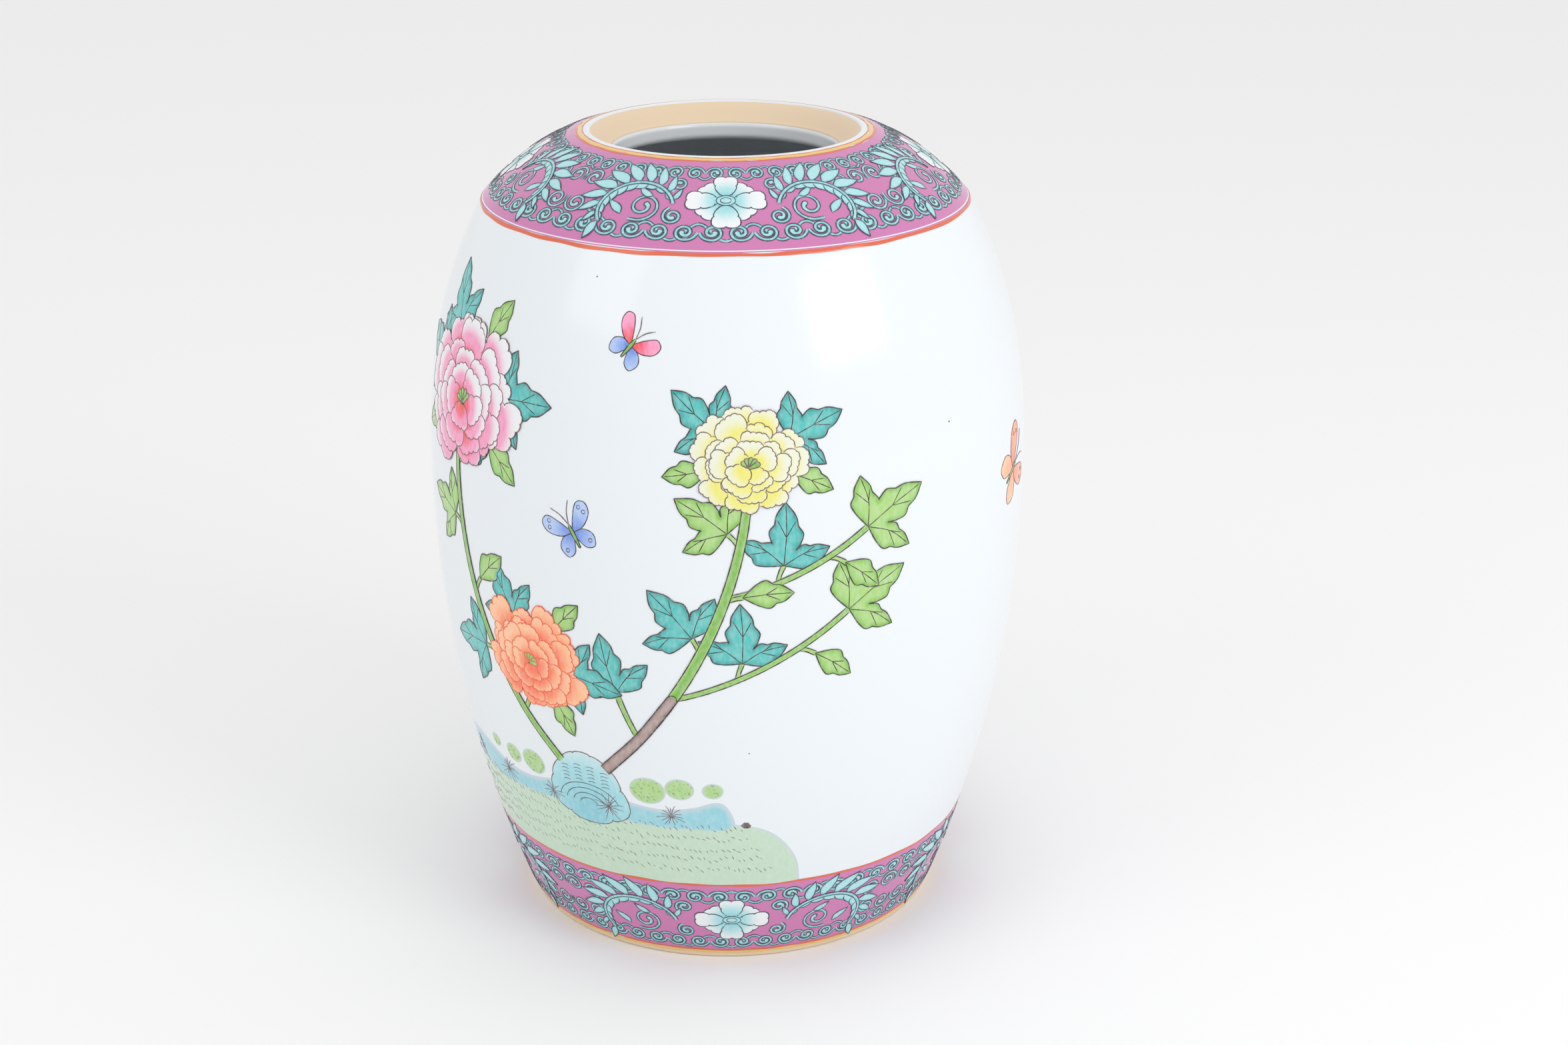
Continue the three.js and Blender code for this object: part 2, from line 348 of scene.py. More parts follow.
class Painting:
    """Enamel on one face of the jar. Washes and lines are laid on in order, and a later wash covers the lines
    under it."""

    FIRST_LIFT, LAYER, POOL, ROUNDING = 0.03, 0.012, 0.03, 0.5

    def __init__(self, skin, name, spacing=1.1, lift=0.0):
        self.skin, self.name, self.spacing, self.ground = skin, name, spacing, lift
        self.washes, self.lines = [], []
        self.put()

    def put(self, across=0.0, mirror=False):
        """Where the next motifs go: mirrored about the flat's origin, then shifted."""
        self.flip = np.array([-1.0 if mirror else 1.0, 1.0])
        self.shift = np.array([across, 0.0])

    def placed(self, points):
        return np.asarray(points, float)[:, :2] * self.flip + self.shift

    def lifted(self, low, high):
        """The lift that clears every wash that this stretch may cross."""
        under = [w["lift"] for w in self.washes if np.all(w["low"] < high) and np.all(w["high"] > low)]
        return max(under) + self.LAYER if under else self.ground + self.FIRST_LIFT

    def wash(self, ring, tones, root=None, reach=10.0, soft=0.0, cover=1.0):
        """A pool of enamel. Its tones run from its root out to its reach or, where it has no root, from its
        middle to its edge. A soft one thins out over its outline."""
        ring = grown(self.placed(ring), soft) if soft else self.placed(ring)
        root = None if root is None else self.placed([root])[0]
        low, high = ring.min(axis=0), ring.max(axis=0)
        lift = self.lifted(low, high)
        wash = {"ring": ring, "tones": tones, "root": root, "reach": reach, "soft": soft}
        wash |= {"cover": cover, "lift": lift, "low": low, "high": high, "ink": len(self.lines)}
        self.washes.append(wash)

    def line(self, path, width=0.38, colour="line", closed=False):
        path = self.placed(path)
        path = np.vstack([path, path[:1]]) if closed else path
        lift = self.lifted(path.min(axis=0), path.max(axis=0)) + self.POOL
        self.lines.append({"path": path, "width": width, "colour": colour, "lift": lift})

    def build(self, slot):
        """Makes the piece that holds the washes and the one that holds the outlines."""
        if self.washes:
            washes = joined(f"{self.name}_enamel", [self.pool(wash) for wash in self.washes], "enamel_wash")
        inked = [body for number, line in enumerate(self.lines) for body in self.ink(number, line)]
        if inked:
            joined(f"{self.name}_outlines", inked, "enamel_line")

    def pool(self, wash):
        ring = wash["ring"]
        low, high = wash["low"], wash["high"]
        rows = np.arange(low[1], high[1], self.spacing * 0.866)
        grid = [
            (x, y)
            for i, y in enumerate(rows)
            for x in np.arange(low[0] + (i % 2) * self.spacing / 2, high[0], self.spacing)
        ]
        grid = np.array(grid).reshape(-1, 2)
        if len(grid):
            grid = grid[inside(grid, ring)]
            grid = grid[edge_distance(grid, ring) > self.spacing * 0.45]
        flat = [Vector(p) for p in np.vstack([ring, grid])]
        found = geometry.delaunay_2d_cdt(flat, [], [list(range(len(ring)))], 1, 1e-5)
        places = np.array([tuple(v) for v in found[0]])
        triangles = np.array(found[2])
        across = places[triangles]
        a, b, c = across[:, 0], across[:, 1], across[:, 2]
        leans = (b[:, 0] - a[:, 0]) * (c[:, 1] - a[:, 1]) - (b[:, 1] - a[:, 1]) * (c[:, 0] - a[:, 0])
        triangles = np.where((leans > 0)[:, None], triangles, triangles[:, ::-1])
        off = edge_distance(places, ring)
        lift = wash["lift"] + self.POOL * (1 - np.exp(-off / self.ROUNDING))
        if wash["soft"]:
            lift = wash["lift"] * ease(off / wash["soft"]) + self.POOL * ease(off / (2 * wash["soft"]))
        if wash["root"] is not None:
            share = ease(np.hypot(*(places - wash["root"]).T) / wash["reach"])
        else:
            share = 1 - ease(off / wash["reach"])
        tones = np.array([paint(tone) for tone in wash["tones"]])
        stops = np.linspace(0, 1, len(tones))
        colour = np.column_stack([np.interp(share, stops, channel) for channel in tones.T])
        cover = np.full(len(places), float(wash["cover"]))
        if wash["soft"]:
            cover *= ease(off / (2 * wash["soft"]))
        return shell(self.skin, places, triangles, lift, np.column_stack([colour, cover]))

    def ink(self, number, line):
        """A line as raised ribbons with tapered ends, without the stretches that later washes cover."""
        path = line["path"]
        shown = np.ones(len(path), bool)
        low, high = path.min(axis=0), path.max(axis=0)
        for wash in self.washes:
            if wash["ink"] > number and np.all(wash["low"] < high) and np.all(wash["high"] > low):
                shown &= ~inside(path, wash["ring"])
        runs, run = [], []
        for place, seen in zip(path, shown):
            if seen:
                run.append(place)
            elif run:
                runs.append(run)
                run = []
        runs.append(run)
        colour = paint(line["colour"])
        drawn = [np.array(run) for run in runs if len(run) > 2]
        return [ribbon(self.skin, run, line["width"], line["lift"], colour) for run in drawn]


def shell(skin, places, triangles, lift, coat):
    """A closed thin body whose top is a sheet of enamel and whose underside is sunk in the glaze."""
    count = len(places)
    top, bottom = skin.place(places, lift), skin.place(places, np.full(count, -WASH_SUNK))
    sides = np.vstack([triangles[:, [0, 1]], triangles[:, [1, 2]], triangles[:, [2, 0]]])
    held = {(a, b) for a, b in sides.tolist()}
    rim = [(b, a, a + count, b + count) for a, b in held if (b, a) not in held]
    faces = triangles.tolist() + (triangles[:, ::-1] + count).tolist() + sorted(rim)
    return np.vstack([top, bottom]), faces, np.vstack([coat, coat])


def ribbon(skin, path, width, lift, colour):
    """A closed ribbon along a path: a low ridge whose keel is sunk in the glaze."""
    along = np.gradient(path, axis=0)
    along /= np.maximum(np.hypot(*along.T), 1e-9)[:, None]
    sideways = np.column_stack([-along[:, 1], along[:, 0]])
    gone = np.concatenate([[0], np.cumsum(np.hypot(*np.diff(path, axis=0).T))])
    ends = np.minimum(gone, gone[-1] - gone)
    half = width / 2 * (0.35 + 0.65 * ease(ends / (3 * width)))
    half *= 1 + 0.16 * np.sin(gone * 0.9 + path[0, 0]) + 0.08 * np.sin(gone * 2.3)
    rows = [
        skin.place(path + sideways * half[:, None], lift),
        skin.place(path, lift + 0.05),
        skin.place(path - sideways * half[:, None], lift),
        skin.place(path, -LINE_SUNK),
    ]
    count = len(path)
    places = np.vstack(rows)
    faces = [[2 * count, count, 0, 3 * count], [count - 1, 2 * count - 1, 3 * count - 1, 4 * count - 1]]
    for row in range(4):
        a, b = row * count, (row + 1) % 4 * count
        faces += [[a + i, b + i, b + i + 1, a + i + 1] for i in range(count - 1)]
    coat = np.tile([*colour, 1.0], (4 * count, 1))
    return places, faces, coat


def linked(mesh, finish):
    """A piece that holds a mesh, smooth but for its sharp edges."""
    mesh.shade_smooth()
    mesh.set_sharp_from_angle(angle=SHARP)
    piece = bpy.data.objects.new(mesh.name, mesh)
    bpy.context.scene.collection.objects.link(piece)
    mesh.materials.append(bpy.data.materials[finish])
    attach(piece, "root")
    return piece


def joined(name, parts, finish):
    """One piece from several bodies, with their paint as a colour attribute."""
    places, faces, coats, start = [], [], [], 0
    for body, sides, coat in parts:
        places.append(body)
        coats.append(coat)
        faces += [[v + start for v in side] for side in sides]
        start += len(body)
    mesh = bpy.data.meshes.new(name)
    mesh.from_pydata(np.vstack(places).tolist(), [], faces)
    layer = mesh.color_attributes.new("paint", "FLOAT_COLOR", "POINT")
    layer.data.foreach_set("color", np.vstack(coats).astype(np.float32).ravel())
    return linked(mesh, finish)


# ---- Stalks, leaves and flowers -------------------------------------------------------------------------
# A motif is drawn at unit size, pointing up from its root, and is then turned clockwise, sized and placed.

TURQUOISE = ("turquoise", "turquoise_deep")
BLOOM = ("turquoise_deep", "turquoise", "white")
TEAL = ("teal_pale", "teal")
GREEN = ("green_pale", "green")
WOOD = ("wood", "wood_dark")
PINK_PETALS = ("ember", "rose", "pink_pale", "pink_pale", "white")
ORANGE_PETALS = ("orange", "orange", "apricot", "peach")
YELLOW_PETALS = ("yellow", "yellow", "cream")

# The petals in each ring of a peony, and how far out the ring starts and ends.
PETAL_RINGS = ((11, 0.5, 1.0), (9, 0.36, 0.82), (7, 0.2, 0.62), (5, 0.05, 0.42))


def polar(turn, reach):
    """A place this many degrees clockwise from straight up, at a distance."""
    angle = math.radians(turn)
    return reach * math.sin(angle), reach * math.cos(angle)


def set_at(points, place, tilt=0.0, scale=1.0, bend=0.0):
    """Points of a motif, bent sideways towards their tip, turned, sized and placed."""
    cos, sin = math.cos(math.radians(tilt)), math.sin(math.radians(tilt))
    moved = []
    for point in points:
        x, y = point[0] + bend * point[1] ** 2, point[1]
        across, up = scale * (x * cos + y * sin), scale * (y * cos - x * sin)
        moved.append(type(point)((place[0] + across, place[1] + up)))
    return moved


def outlined(painting, ring, tones, root=None, reach=2.2, line="line", width=1.0):
    """A wash with a drawn line round it."""
    painting.wash(ring, tones, root, reach)
    painting.line(ring, size("outline_width") * width, line, closed=True)


def stalk(painting, points, tones=("green", "green_pale"), line="line"):
    """A stem through (across, up, width) points, open at its start."""
    ring = limb(points)
    painting.wash(ring, tones, None, 1.2)
    painting.line(ring, size("outline_width"), line)


def leaf_outline(lobes, spread):
    """A toothed leaf with pointed lobes. Returns its outline and its lobes' tips."""
    turns = np.linspace(-spread, spread, lobes) if lobes > 1 else np.array([0.0])
    half = 0.5 * 2 * spread / (lobes - 1) if lobes > 1 else spread
    ring, tips = [[0.0, 0.0]], []
    for number, turn in enumerate(turns):
        reach = 1 - 0.24 * abs(turn) / spread
        side = [(1.0, 0.4), (0.84, 0.58), [0.5, 0.66], (0.34, 0.8)]
        for share, out in side:
            kind = list if out == 0.66 else tuple
            ring.append(kind(polar(turn - share * half, out * reach)))
        ring.append(list(polar(turn, reach)))
        tips.append((turn, reach))
        for share, out in side[::-1]:
            kind = list if out == 0.66 else tuple
            ring.append(kind(polar(turn + share * half, out * reach)))
        if number < lobes - 1:
            ring[-1] = list(polar(turn + half, 0.42))
    return ring, tips


def leaf(painting, place, tilt, scale=1.0, lobes=3, tones=TEAL, bend=0.12):
    """A leaf with a vein to the tip of each lobe and a fork in each vein."""
    scale *= size("leaf_length")
    outline, tips = leaf_outline(lobes, 64 if lobes > 1 else 36)
    outlined(painting, smooth(set_at(outline, place, tilt, scale, bend), closed=True), tones)
    for turn, reach in tips:
        veins = [[(0, 0), polar(turn * 0.85, reach * 0.5), polar(turn, reach * 0.95)]]
        for side in (-11, 11):
            veins.append([polar(turn * 0.85, reach * 0.45), polar(turn + side, reach * 0.72)])
        for vein in veins:
            painting.line(smooth(set_at(vein, place, tilt, scale, bend)), size("outline_width") * 0.8)


def peony(painting, place, tilt, scale, tones, seed, line="line_soft"):
    """A full peony, half turned away: rings of scalloped petals, laid from the outermost inwards."""
    draw = random.Random(seed)
    radius = scale * size("peony_radius")
    for count, near, far in PETAL_RINGS:
        start, half = draw.uniform(0, 360), 205 / count
        order = sorted(range(count), key=lambda number: math.cos(math.radians(start + 360 * number / count)))
        for number in order[::-1]:
            turn = start + 360 * number / count + draw.uniform(-8, 8)
            tip = far * draw.uniform(0.86, 1.1)
            shoulder = near + 0.55 * (tip - near)
            shape = [(-0.5, near), (-0.95, shoulder)]
            shape += [(0.32 * k, tip * draw.uniform(0.93, 1.03)) for k in range(-2, 3)]
            shape += [(0.97, shoulder), (0.5, near)]
            petal = [polar(turn + share * half, out) for share, out in shape]
            petal = [(x, y * 0.86 - 0.14 * (1 - math.hypot(x, y))) for x, y in petal]
            flat = ruffled(set_at(petal, place, tilt, radius), 0.26)
            root = set_at([polar(turn, near)], place, tilt, radius)[0]
            root = (root[0], root[1] - 0.14 * radius * (1 - near))
            outlined(painting, flat, tones, root, (tip - near) * radius * 0.95, line, 0.9)
    heart = set_at([(0, -0.14)], place, tilt, radius)[0]
    for turn in range(-60, 61, 30):
        stamen = [heart, (heart[0] + 0.13 * radius * math.sin(math.radians(turn + tilt)),
                          heart[1] + 0.13 * radius * math.cos(math.radians(turn + tilt)))]
        stalk(painting, [(*stamen[0], 1.0), (*stamen[1], 1.9)], GREEN, line)


def side_shoot(path, share, side, reach):
    """Where a leaf's stem leaves a branch, where it ends, and which way the leaf points."""
    spot = int(share * (len(path) - 2))
    along = path[spot + 1] - path[spot]
    turn = math.degrees(math.atan2(along[0], along[1])) + side
    start = path[spot]
    return start, start + np.array(polar(turn - side * 0.2, reach)), turn


def branch(painting, points, leaves, tones=("green", "green_pale")):
    """A branch through (across, up, width) points, with leaves on stems: (share, side, reach, scale, lobes,
    tones)."""
    path = through([point[:2] for point in points], 1.0)
    for share, side, reach, scale, lobes, colours in leaves:
        start, end, turn = side_shoot(path, share, side, reach)
        stalk(painting, [(*start, 1.4), (*(start + (end - start) * 0.5 + (0, 0.6)), 1.4), (*end, 1.7)])
        leaf(painting, tuple(end), turn, scale, lobes, colours, 0.1 if side > 0 else -0.1)
    stalk(painting, points, tones)


# ---- Borders --------------------------------------------------------------------------------------------

BORDER_MIDDLE = 21.5
CURL_STEP = 8.4
CURL_ROW = 13.6


def curl(x, y, radius, turn, hand):
    """A fiddlehead with a bulb at its end, as (across, up, width) points."""
    points = []
    for share in np.linspace(-0.2, 1, 16):
        reach = radius * (1 - 0.72 * share if share > 0 else 1 + 7 * share**2)
        angle = math.radians(turn + hand * 440 * share)
        width = 1.1 + 0.8 * max(share, 0) ** 5
        points.append((x + reach * math.cos(angle), y + reach * math.sin(angle), width))
    return points


def scroll(painting, half, squeeze):
    """Half of one repeat, from a flower's centre line to midway to the next: a running stem of curls along
    each edge, and a frond between them."""
    width = size("scroll_line_width")

    def fitted(points):
        return [type(p)((p[0], BORDER_MIDDLE + (p[1] - BORDER_MIDDLE) * squeeze, *p[2:])) for p in points]

    def stroke(points, reach=0.5):
        ring = limb(fitted(points))
        painting.wash(ring, TURQUOISE, None, reach)
        painting.line(ring, width, "line_grey")

    def blade(place, tilt, reach, bend):
        outline = [[0, 0], (0.2, 0.3), (0.2, 0.66), [0.02, 1], (-0.15, 0.6), (-0.16, 0.3)]
        ring = smooth(fitted(set_at(outline, place, tilt, reach, bend)), closed=True)
        painting.wash(ring, TURQUOISE, None, 0.9)
        painting.line(ring, width, "line_grey", closed=True)

    count = int(half / CURL_STEP)
    gap = half / count
    for edge in (-1, 1):
        row = BORDER_MIDDLE + edge * CURL_ROW
        waves = np.linspace(0, half, count * 8 + 1)
        stroke([(x, row + 3.4 * edge * math.cos(math.pi * x / gap), 1.0) for x in waves])
        for number in range(count):
            hand = edge * (-1) ** number
            stroke(curl((number + 0.5) * gap, row, 3.1, 90 * hand + 180 * (number % 2), hand))
    for side, height in ((-1, 15.5), (1, 27.5)):
        stroke(curl(half - 4.6, height, 3.8, 60 * side, side))
        stroke(curl(half - 13, BORDER_MIDDLE + 5.6 * side, 3.6, 200 * side, -side))
        stroke(curl(17.5, BORDER_MIDDLE + 7.2 * side, 3.0, 20 * side, side))
    turns = np.radians(np.linspace(165, -35, 22))
    centre, reach = (0.5 * half + 1.5, 16.5), 0.225 * half
    stroke(curl(centre[0] - 2.6, centre[1] + 1.2, 5.4, 215, -1), 0.6)
    blade((centre[0] + 4.4, centre[1] - 3), 30, 8, 0.3)
    blade((centre[0] - 5, centre[1] + 6), 75, 7, -0.3)
    spine = [(centre[0] + reach * math.cos(t), centre[1] + 0.9 * reach * math.sin(t)) for t in turns]
    for number in range(1, 21, 2):
        heading = math.degrees(turns[number])
        long = 12.5 * math.sin(math.pi * (number + 3) / 26)
        blade(spine[number], 95 - heading + 10, long, 0.35)
        blade(spine[number], 215 - heading, long * 0.75, -0.3)
    stroke([(*place, 1.3) for place in spine], 0.6)
    blade(spine[-1], 150, 8, 0.2)


def border_flower(painting, squeeze):
    """An eight-petalled flower on the border's middle line, with a ring of stamens."""
    radius, width = size("border_flower_radius"), size("scroll_line_width")
    centre = (0, BORDER_MIDDLE)
    for turn, long in [(45 * k, 0.84) for k in (1, 3, 5, 7)] + [(90 * k, 1.0) for k in range(4)]:
        shape = [(-13, 0.2), (-24, 0.62), (-17, 0.92), (0, 0.9), (17, 0.92), (24, 0.62), (13, 0.2)]
        petal = [polar(turn + lean, out * long * radius) for lean, out in shape]
        ring = ruffled([(x, BORDER_MIDDLE + y * 0.82 * squeeze) for x, y in petal], 0.2)
        painting.wash(ring, BLOOM, centre, radius * 0.75)
        painting.line(ring, width, "line_grey", closed=True)
    painting.wash(oval(*centre, 3.4, 2.4 * squeeze), TURQUOISE, None, 0.8)
    for across in (3.4, 1.9):
        painting.line(oval(*centre, across, across * 0.66 * squeeze), width * 0.85, "line_grey", closed=True)
    for turn in range(0, 360, 30):
        x, y = polar(turn, 4.4)
        painting.wash(oval(x, BORDER_MIDDLE + 0.72 * y * squeeze, 0.3, 0.3, count=8), ("line_grey",))


def border(skin, name, repeats, squeeze):
    """A whole border of flowers and scrolls, all round the jar."""
    half = math.pi * skin.around / repeats
    painting = Painting(skin, name, 1.0, GROUND_LIFT)
    for number in range(repeats):
        for mirror in (False, True):
            painting.put(2 * half * number, mirror=mirror)
            scroll(painting, half, squeeze)
        painting.put(2 * half * number)
        border_flower(painting, squeeze)
    painting.build("turquoise_enamel")


# ---- The picture round the body -------------------------------------------------------------------------
# It is painted once on the front, and again on the back, mirrored and in other colours.

BACK = math.pi * BODY.around
SIDES = ({}, {"across": BACK, "mirror": True})
MEADOW_END = 30.0
MEADOW_START = -168.0
MEADOW_LOW = 39.4
MEADOW_HIGH = 72.0
ROCK_PLACE = (-60.0, 69.0)
BRANCH_LIFT, FLOWER_LIFT = 0.1, 0.34


def grass_dash(painting, draw, across, up, low, high, colour="line_soft"):
    lean, reach = draw.uniform(-1.2, -0.4), draw.uniform(low, high)
    step = np.array([math.cos(lean), math.sin(lean)]) * reach
    painting.line(through([(across, up) - step, (across, up) + step], 0.3), 0.3, colour)


def meadow(painting, draw):
    """A meadow that slopes off at its right-hand end, with a strip of water behind it and rows of grass."""
    low = [[MEADOW_START, MEADOW_LOW], [MEADOW_END, MEADOW_LOW], (MEADOW_END - 3, 52), (MEADOW_END - 14, 65)]
    high = [(x, MEADOW_HIGH - 2.5 + 1.5 * math.sin(x / 17)) for x in np.linspace(0, MEADOW_START + 8, 10)]
    painting.wash(smooth([*low, *high], closed=True, step=1.5), ("meadow",), None, 9, 0.8, 0.75)
    shore = [(x, 77 + 2.6 * math.sin(x / 11 + 1)) for x in np.linspace(MEADOW_START + 14, -4, 15)]
    bank = [(x, 68.5 + 1.2 * math.sin(x / 15)) for x in np.linspace(0, MEADOW_START + 14, 9)]
    painting.wash(smooth([*shore, *bank], closed=True, step=1.2), ("water",), None, 4, 1.4, 0.9)
    for row in range(5):
        across = MEADOW_START + 20 + 9 * (row % 2)
        while across < MEADOW_END - 12 - 3 * row:
            grass_dash(painting, draw, across, 48 + 5 * row + draw.uniform(-1.2, 1.2), 0.6, 1.2)
            across += draw.uniform(1.6, 3.2)


def rock(painting):
    """A garden rock with a scalloped top, nested hollows and short hatching."""
    across, up = ROCK_PLACE
    turns = np.radians(np.linspace(180, 0, 8))
    top = [(across + (17 + (n % 2)) * math.cos(t), up + 2 + 24 * math.sin(t)) for n, t in enumerate(turns)]
    ring = ruffled([*top, (across + 10, up - 2), (across - 10, up - 2)], 0.16)
    outlined(painting, ring, ("rock_deep", "rock", "white"), (across, up), 40, "line_soft")
    for reach in (4, 7, 10, 13):
        turns = np.radians(np.linspace(14, 172, 24))
        arch = [(across + 1.1 * reach * math.cos(t), up + 3 + 0.75 * reach * math.sin(t)) for t in turns]
        painting.line(np.array(arch), 0.32, "line_grey")
    for column in range(4):
        for step in range(5):
            middle = np.array([across - 9 + 6 * column, up + 21 - 1.6 * step - 1.4 * abs(column - 1.5)])
            dash = [middle - (1.8, 0), middle + (0, 0.4), middle + (1.8, 0)]
            painting.line(through(dash, 0.4), 0.28, "line_grey")


def moss(painting, draw, across, up, wide, high):
    painting.wash(oval(across, up, wide, high, count=40), ("green_pale",), None, 1.6, 0.5, 0.9)
    for _ in range(int(wide * high * 1.5)):
        x, y = polar(draw.uniform(0, 360), 0.95 * math.sqrt(draw.random()))
        grass_dash(painting, draw, across + wide * x, up + high * y, 0.2, 0.45, "line_soft")


def tuft(painting, draw, across, up, reach):
    for number in range(15):
        tip = np.array(polar(24 * number + draw.uniform(-7, 7), reach * draw.uniform(0.65, 1.25)))
        root = np.array([across, up])
        blade = [root, root + tip * 0.5 + (0, 0.3), root + tip * (1, 0.85)]
        painting.line(through(blade, 0.4), 0.28, "line_soft")


def garden():
    """The ground that the branches grow from, on both sides."""
    painting, draw = Painting(BODY, "garden"), random.Random(11)
    for side in SIDES:
        painting.put(**side)
        meadow(painting, draw)
        rock(painting)
        for number in range(6):
            across = ROCK_PLACE[0] + (27 + 13 * (number // 2)) * (-1) ** number
            moss(painting, draw, across, 82 + draw.uniform(0, 4), 7 - 0.8 * number, 5.4 - 0.6 * number)
        for across in range(-140, -27, 28):
            tuft(painting, draw, across + draw.uniform(-6, 6), 73, draw.uniform(4.8, 6.4))
    painting.build("green_enamel")


def arching(root, heading, turn, reach, widths):
    """A branch that leaves its root at a heading and bends steadily: its (across, up, width) points and the
    heading at its end."""
    points, place = [], np.array(root, float)
    for share in np.linspace(0, 1, 7):
        points.append((*place, widths[0] + (widths[1] - widths[0]) * share))
        place = place + polar(heading + turn * (share + 1 / 12), reach / 6)
    return points, heading + turn


LEAF_LEAN = 62
LEAF_STEM = 7


def alternate(count, hand, scale, low=0.22, high=0.84):
    """Leaves on either side of a branch in turn: three-lobed and plain, teal and green."""
    leaves = []
    for number, share in enumerate(np.linspace(low, high, count)):
        lobes, trim = ((3, 1.0), (1, 0.8))[number % 2]
        tones = (TEAL, GREEN, GREEN, TEAL)[number % 4]
        side = LEAF_LEAN * hand * (-1) ** number
        leaves.append((share, side, LEAF_STEM, scale * trim * (1.06 - 0.2 * share), lobes, tones))
    return leaves


def collar(painting, place, reach, turns):
    """Leaves that look out from behind a flower."""
    for number, turn in enumerate(turns):
        start = np.array(place) + polar(turn, reach * 0.72)
        lobes, scale, tones = ((3, 0.94, TEAL), (1, 0.72, GREEN))[number % 2]
        leaf(painting, tuple(start), turn, scale * (0.55 + 0.45 * reach / 33), lobes, tones, 0.06)


def offshoot(points, knot, lean, turn, reach):
    """A smaller branch from one of a branch's points, and the heading at its end."""
    start, after = np.array(points[knot][:2]), np.array(points[knot + 1][:2])
    return arching(start, math.degrees(math.atan2(*(after - start))) + lean, turn, reach, (1.9, 2.2))


def beyond(points, heading, reach):
    """The place a little past a branch's end."""
    return tuple(np.array(points[-1][:2]) + polar(heading, reach))


RIGHT_BRANCH, RIGHT_HEADING = arching((-50, 90), 48, -44, 134, (4.4, 3.0))
LEFT_BRANCH, LEFT_HEADING = arching((-70, 90), -46, 52, 138, (3.2, 2.4))
ORANGE_SHOOT = offshoot(LEFT_BRANCH, 1, 66, -30, 26)[0]
YELLOW_PLACE = beyond(RIGHT_BRANCH, RIGHT_HEADING, 7)
PINK_PLACE = beyond(LEFT_BRANCH, LEFT_HEADING, 8)
ORANGE_PLACE = ORANGE_SHOOT[-1][:2]


def right_branch(painting):
    """The branch that ends in the yellow peony: wood at its foot, with two leafy shoots to the right."""
    for knot, lean, reach in ((2, 44, 72), (4, 62, 56)):
        shoot, heading = offshoot(RIGHT_BRANCH, knot, lean, -22, reach)
        branch(painting, shoot, alternate(2, -1, 0.86, 0.35, 0.7))
        leaf(painting, shoot[-1][:2], heading, 0.94, 3, GREEN)
    shoot, _ = offshoot(RIGHT_BRANCH, 1, -64, 10, 20)
    branch(painting, shoot, [])
    leaf(painting, shoot[-1][:2], -20, 0.86, 3, TEAL)
    collar(painting, YELLOW_PLACE, 21, (-52, -104, 64, 112))
    branch(painting, RIGHT_BRANCH, alternate(3, -1, 0.9, 0.5, 0.82))
    stalk(painting, RIGHT_BRANCH[:3], WOOD)


def left_branch(painting):
    """The branch that ends in the pink peony, with the orange one on a short shoot."""
    branch(painting, ORANGE_SHOOT, [])
    collar(painting, ORANGE_PLACE, 23, (100, 40, -30, 150))
    collar(painting, PINK_PLACE, 33, (-28, 30, 84, 128, -76, -122))
    branch(painting, LEFT_BRANCH, alternate(4, -1, 0.92, 0.34, 0.86))


def branches():
    """Two branches from behind the rock on each side, with their leaves."""
    painting = Painting(BODY, "branches", lift=BRANCH_LIFT)
    for side in SIDES:
        painting.put(**side)
        right_branch(painting)
        left_branch(painting)
    painting.build("green_enamel")


def peonies():
    """Three peonies on each side, where the branches end."""
    painting = Painting(BODY, "peonies", lift=FLOWER_LIFT)
    for number, side in enumerate(SIDES):
        painting.put(**side)
        first, second = (PINK_PETALS, ORANGE_PETALS) if number == 0 else (ORANGE_PETALS, PINK_PETALS)
        lines = ("line_soft", "line_orange") if number == 0 else ("line_orange", "line_soft")
        peony(painting, PINK_PLACE, -14, 1.0, first, 3 + number, lines[0])
        peony(painting, ORANGE_PLACE, 30, 0.7, second, 5 + number, lines[1])
        peony(painting, YELLOW_PLACE, 6, 0.64, YELLOW_PETALS, 7 + number)
    painting.build("pink_enamel")


WINGS = (
    ([[0, 0], (0.3, 0.5), (0.72, 0.92), (1.0, 0.8), (0.98, 0.42), (0.5, 0.04)], 0),
    ([[0, 0], (0.48, -0.04), (0.74, -0.34), (0.6, -0.74), (0.28, -0.68), (0.08, -0.3)], 1),
)


def butterfly(painting, place, tilt, scale, tones, spots):
    """A butterfly from above, with upper and lower wings in their own tones."""
    scale *= size("butterfly_span")

    def put(points, flip=1):
        return set_at([type(p)((p[0] * flip, p[1])) for p in points], place, tilt, scale)

    for outline, number in WINGS[::-1]:
        for flip in (1, -1):
            wing = smooth(put(outline, flip), closed=True, step=0.4)
            outlined(painting, wing, tones[number], place, scale, "line", 0.8)
            for x, y in ((0.7, 0.72), (0.8, 0.5), (0.52, -0.5))[:spots]:
                centre = put([(x, y)], flip)[0]
                painting.wash(oval(*centre, 0.7, 0.7, count=12), ("white",))
                painting.line(oval(*centre, 0.7, 0.7, count=12), 0.26, closed=True)
    body = put([(0, 0.3), (0, 0), (0, -0.55)])
    stalk(painting, [(*spot, width) for spot, width in zip(body, (0.8, 1.5, 0.7))], ("green",))
    for flip in (1, -1):
        painting.line(smooth(put([(0, 0.3), (0.16, 0.75), (0.42, 1.1)], flip)), 0.36, "line_soft")


